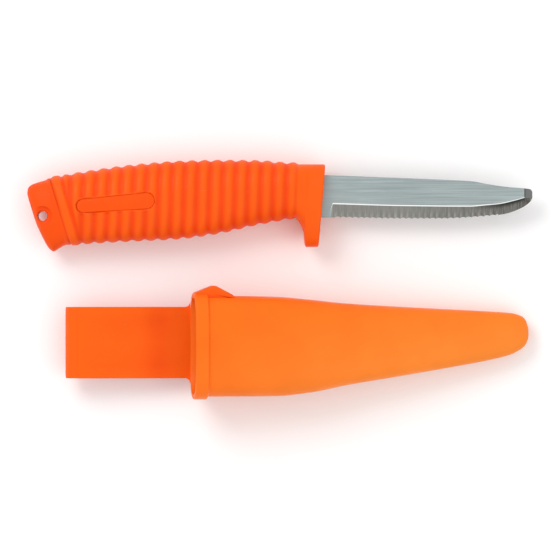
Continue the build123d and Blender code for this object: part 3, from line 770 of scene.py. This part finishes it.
class RIG_OT_sheath(bpy.types.Operator):
    """Sheath: hollow tapered body with a bead round its mouth and a thumb ramp"""
    bl_idname = "rig.sheath"
    bl_label = "Sheath"

    def execute(self, context):
        sizes, finish = context.scene.rig_sheath, context.scene.rig_finish
        mouth, forward, up, side = sheath_axes()
        total, wall = sizes.body_length / MM, sizes.wall / MM
        proud, bead = sizes.collar_proud / MM, sizes.collar_length / MM
        arc = np.linspace(0, math.pi / 2, 7)
        lip = 0.7
        outer = np.concatenate([lip * (1 - np.cos(arc)), np.linspace(lip, bead + 2, 40)[1:],
                                np.linspace(bead + 2, total, 170)[1:]])
        swell = proud * (1 - smooth_step(outer, bead - 1.1, bead + 0.1))
        rounding = np.concatenate([lip * (1 - np.sin(arc)), np.zeros(len(outer) - 7)])
        inner = np.linspace(0.12, 1, 90)[::-1] * (total - 1.8)
        inner = np.concatenate([inner[:-1], inner[-1] * np.linspace(1, 0.0, 8)])
        stretch = total / (total - 1.8)
        low_in, high_in, half_in = read_stations(SHEATH_STATIONS, inner * stretch).T
        low_out, high_out, half_out = read_stations(SHEATH_STATIONS, outer).T
        inner_round = lip * (1 - np.sqrt(np.clip(1 - np.clip(1 - inner / lip, 0, 1) ** 2, 0, None)))
        grow = swell - rounding
        distance = np.concatenate([inner, outer])
        low = np.concatenate([low_in + wall - inner_round, low_out - grow]) * MM
        high = np.concatenate([high_in - wall + inner_round, high_out + grow]) * MM
        half = np.concatenate([half_in - wall + inner_round, half_out + grow]) * MM
        count = len(distance)
        origins = mouth + forward * distance[:, None] * MM
        rows = sweep(origins, np.tile(up, (count, 1)), np.tile(side, (count, 1)), low, high, half, 168,
                     SHEATH_ROUNDNESS)
        # Painted light and shade: the sheath is paler toward its nose and darker toward its top edge, lighter
        # on its lower side
        along = np.broadcast_to((distance / total)[:, None], rows.shape[:2])
        tall = (rows @ up - mouth[1]) / (22.4 * MM)
        shade = np.clip(1 - np.clip(along * 1.05 - 0.5 * (tall + 0.1) * (0.35 + along), 0, 1), 0, 1)
        piece = closed_tube("sheath_shell", rows, {"thick": shade}, sharp=50)
        material = moulded_plastic("Sheath Plastic", finish.sheath_nose, finish.sheath_mouth,
                                   mask_reader("thick"), grain=2200.0, scuffs=0.35)
        finish_piece(piece, "sheath", "sheath_body", material, "sheath_body")
        self.add_ramp(mouth, forward, up, side)
        return {"FINISHED"}

    def add_ramp(self, mouth, forward, up, side):
        """Solid thumb ramp: a rounded triangle carried across the sheath, drawn in at both ends."""
        finish = bpy.context.scene.rig_finish
        outline = rounded_outline(((0.35, 20.9), (0.35, 23.5), (8.9, 26.95), (18.1, 22.1), (18.1, 20.9)),
                                  (0.3, 0.5, 1.3, 1.6, 0.3), 14)
        middle = outline.mean(0)
        arc = np.linspace(0, math.pi / 2, 7)
        across = np.concatenate([-6.95 + 0.8 * (1 - np.sin(arc)), np.linspace(-6.0, 6.0, 9),
                                 6.95 - 0.8 * (1 - np.sin(arc))])
        across = np.sort(across)
        drawn = np.clip(np.abs(across) - 6.15, 0, 0.8)
        shrink = 1 - 0.075 * (1 - np.sqrt(np.clip(1 - (drawn / 0.8) ** 2, 0, 1)))
        flat = middle + (outline[None] - middle) * shrink[:, None, None]
        rows = (mouth + MM * (flat[..., :1] * forward + flat[..., 1:] * up + across[:, None, None] * side))
        # Painted shade: the ramp is a darker copy of the sheath's mouth colour, blended toward the strap's
        # shade colour, most at its foot and less toward its crest
        steep = np.broadcast_to(smooth_step(outline[:, 1], 20.5, 24.0), rows.shape[:2])
        piece = closed_tube("thumb_ramp", rows, {"thick": 0.6 + 0.4 * (1 - steep)}, sharp=35)
        material = moulded_plastic("Thumb Ramp Plastic", scaled(finish.sheath_mouth, 0.95), finish.strap_shade_colour,
                                   mask_reader("thick"), grain=2200.0)
        finish_piece(piece, "sheath", "sheath_body", material)


def rounded_outline(corners, radii, steps):
    """Closed outline of straight runs joined by arcs, each as a quadratic turn about its corner."""
    points = np.array(corners, float)
    share = np.linspace(0, 1, steps)[:, None]
    parts = []
    for number, radius in enumerate(radii):
        corner = points[number]
        before = points[number - 1] - corner
        after = points[(number + 1) % len(points)] - corner
        start = corner + before / np.linalg.norm(before) * radius
        end = corner + after / np.linalg.norm(after) * radius
        parts.append((1 - share) ** 2 * start + 2 * share * (1 - share) * corner + share**2 * end)
    return np.concatenate(parts)


class RIG_OT_strap(bpy.types.Operator):
    """Belt strap, and the folded clip behind it"""
    bl_idname = "rig.strap"
    bl_label = "Strap and Clip"

    def execute(self, context):
        sizes, finish = context.scene.rig_sheath, context.scene.rig_finish
        mouth, forward, up, side = sheath_axes()
        thick, width = sizes.strap_thickness, sizes.strap_width
        end, offset = strap_end(), sizes.strap_offset
        level = thick / 2 - sizes.mouth_half - sizes.collar_proud
        radius = (sizes.belt_gap + thick) / 2
        material = moulded_plastic("Strap Plastic", finish.strap, finish.strap_shade_colour, mask_reader("painted_strap_shade"),
                                   grain=2200.0, scuffs=0.7)
        # strap: straight back from the collar, flared at its root
        place = np.concatenate([[0.0], np.linspace(0.0, 3.2, 24),
                                np.linspace(3.2, end / MM - 0.03, 60)[1:]]) * MM
        root = np.clip(1 - place / (2.4 * MM), 0, 1)
        flare = 2.4 * MM * (1 - np.sqrt(np.clip(1 - root**2, 0, 1)))
        origins = mouth - forward * place[:, None] + side * level
        tiled = [np.tile(axis, (len(place), 1)) for axis in (up, side)]
        rows = sweep(origins, *tiled, offset - width / 2 - flare, offset + width / 2 + flare,
                     np.full(len(place), thick / 2 - 0.01 * MM), 96, STRAP_ROUNDNESS)
        across = ((rows @ up) - mouth[1] - offset) / (width / 2)
        # Painted shade: two darker lobes and a faint streak across the strap near its root, and a slight
        # darkening over all of it
        near = np.exp(-((place / MM - 14.5) / 6.0) ** 2)[:, None]
        lobes = np.exp(-((np.abs(across) - 0.5) / 0.28) ** 2)
        streak = 0.35 * np.exp(-((place / MM - 30) / 16) ** 2)[:, None] * lobes
        painted_strap_shade = np.clip(near * (0.45 + 0.55 * lobes) + streak + 0.08, 0, 1)
        piece = closed_tube("belt_strap_plate", rows, {"painted_strap_shade": painted_strap_shade}, sharp=50)
        finish_piece(piece, "sheath", "belt_strap", material, "belt_strap")
        # clip: half-circle fold, straight leaf, then a lip turned away from the strap
        turn = np.linspace(0, math.pi, 40)
        reach = sizes.clip_reach + sizes.clip_lip
        bend_x, bend_z = -end - radius * np.sin(turn), level - radius + radius * np.cos(turn)
        leaf_x = np.linspace(-end, -sizes.clip_reach, 70)[1:]
        droop = smooth_step(leaf_x, -reach - 0.001, -sizes.clip_reach + 0.003)
        leaf_z = level - 2 * radius - sizes.clip_lip_drop * np.minimum(droop * 1.35, 1)
        path = np.stack([np.concatenate([bend_x, leaf_x]), np.concatenate([bend_z, leaf_z])], -1)
        run = np.gradient(path, axis=0)
        run /= np.linalg.norm(run, axis=1)[:, None]
        run[0] = (-1, 0)
        normal_x, normal_z = run[:, 1], -run[:, 0]
        origins = mouth + path[:, :1] * forward + path[:, 1:] * side
        sides = normal_x[:, None] * forward + normal_z[:, None] * side
        travelled = np.concatenate([[0], np.cumsum(np.linalg.norm(np.diff(path, axis=0), axis=1))])
        left = travelled[-1] - travelled
        soft = 2.0 * MM * (1 - np.sqrt(np.clip(1 - np.clip(1 - left / (2.0 * MM), 0, 1) ** 2, 0, 1)))
        half_width = width / 2 - 0.05 * MM - soft
        thin = np.clip(left / (0.8 * MM), 0.35, 1) * (thick / 2 - 0.02 * MM)
        rows = sweep(origins, np.tile(up, (len(path), 1)), sides, offset - half_width, offset + half_width,
                     thin, 96, STRAP_ROUNDNESS)
        # Painted shade: the clip takes a fixed quarter of the strap's shade colour all over
        clip = closed_tube("belt_clip_leaf", rows, {"painted_strap_shade": np.full(rows.shape[:2], 0.25)}, sharp=50)
        finish_piece(clip, "clip", "belt_clip", material, "belt_clip")
        return {"FINISHED"}


class RIG_OT_inner(bpy.types.Operator):
    """Finishes of the inner pieces: tang core, float foam and seal"""
    bl_idname = "rig.inner"
    bl_label = "Inner Pieces"

    def execute(self, context):
        for node, first, second, scale, rough in (
            ("tang_core", (0.012, 0.012, 0.013), (0.03, 0.03, 0.032), 900.0, 0.55),
            ("float_core", (0.62, 0.6, 0.55), (0.8, 0.78, 0.72), 700.0, 0.9),
            ("cap_seal", (0.01, 0.01, 0.01), (0.03, 0.03, 0.03), 1500.0, 0.7),
        ):
            material, tree, shader = new_material(node.replace("_", " ").title(), rough)
            place = add_node(tree, "ShaderNodeTexCoord").outputs["Object"]
            cells = noise(tree, place, scale, 3.0, 0.6)
            tree.links.new(mix_colours(tree, cells, first, second), shader.inputs["Base Color"])
            relief = add_node(tree, "ShaderNodeBump", {
                "Height": cells, "Strength": 0.5, "Distance": 0.1 * MM})
            tree.links.new(relief.outputs["Normal"], shader.inputs["Normal"])
            mesh = frame["nodes"][node].data
            mesh.materials.clear()
            mesh.materials.append(material)
        return {"FINISHED"}


class RIG_PT_panel(bpy.types.Panel):
    """Sizes, colours and makers of the rigging knife"""
    bl_label = "Rigging Knife"
    bl_idname = "RIG_PT_panel"
    bl_space_type = "VIEW_3D"
    bl_region_type = "UI"
    bl_category = "Rigging Knife"

    def draw(self, context):
        layout = self.layout
        for group in (context.scene.rig_knife, context.scene.rig_sheath, context.scene.rig_finish):
            box = layout.box()
            for key in group.__annotations__:
                box.prop(group, key)
        for maker in MAKERS:
            layout.operator(maker.bl_idname)


MAKERS = (RIG_OT_stage, RIG_OT_blade, RIG_OT_grip, RIG_OT_end_cap, RIG_OT_badges, RIG_OT_sheath,
          RIG_OT_strap, RIG_OT_inner)
GROUPS = {"rig_knife": RigKnifeSizes, "rig_sheath": RigSheathSizes, "rig_finish": RigFinish}


def register():
    for group in GROUPS.values():
        bpy.utils.register_class(group)
    for name, group in GROUPS.items():
        setattr(bpy.types.Scene, name, PointerProperty(type=group))
    for maker in MAKERS:
        bpy.utils.register_class(maker)
    bpy.utils.register_class(RIG_PT_panel)


def unregister():
    bpy.utils.unregister_class(RIG_PT_panel)
    for maker in reversed(MAKERS):
        bpy.utils.unregister_class(maker)
    for name, group in GROUPS.items():
        delattr(bpy.types.Scene, name)
        bpy.utils.unregister_class(group)


def main():
    """Make every piece in order."""
    register()
    for maker in MAKERS:
        prefix, name = maker.bl_idname.split(".")
        getattr(getattr(bpy.ops, prefix), name)()
    bpy.context.view_layer.update()


if __name__ == "__main__":
    main()
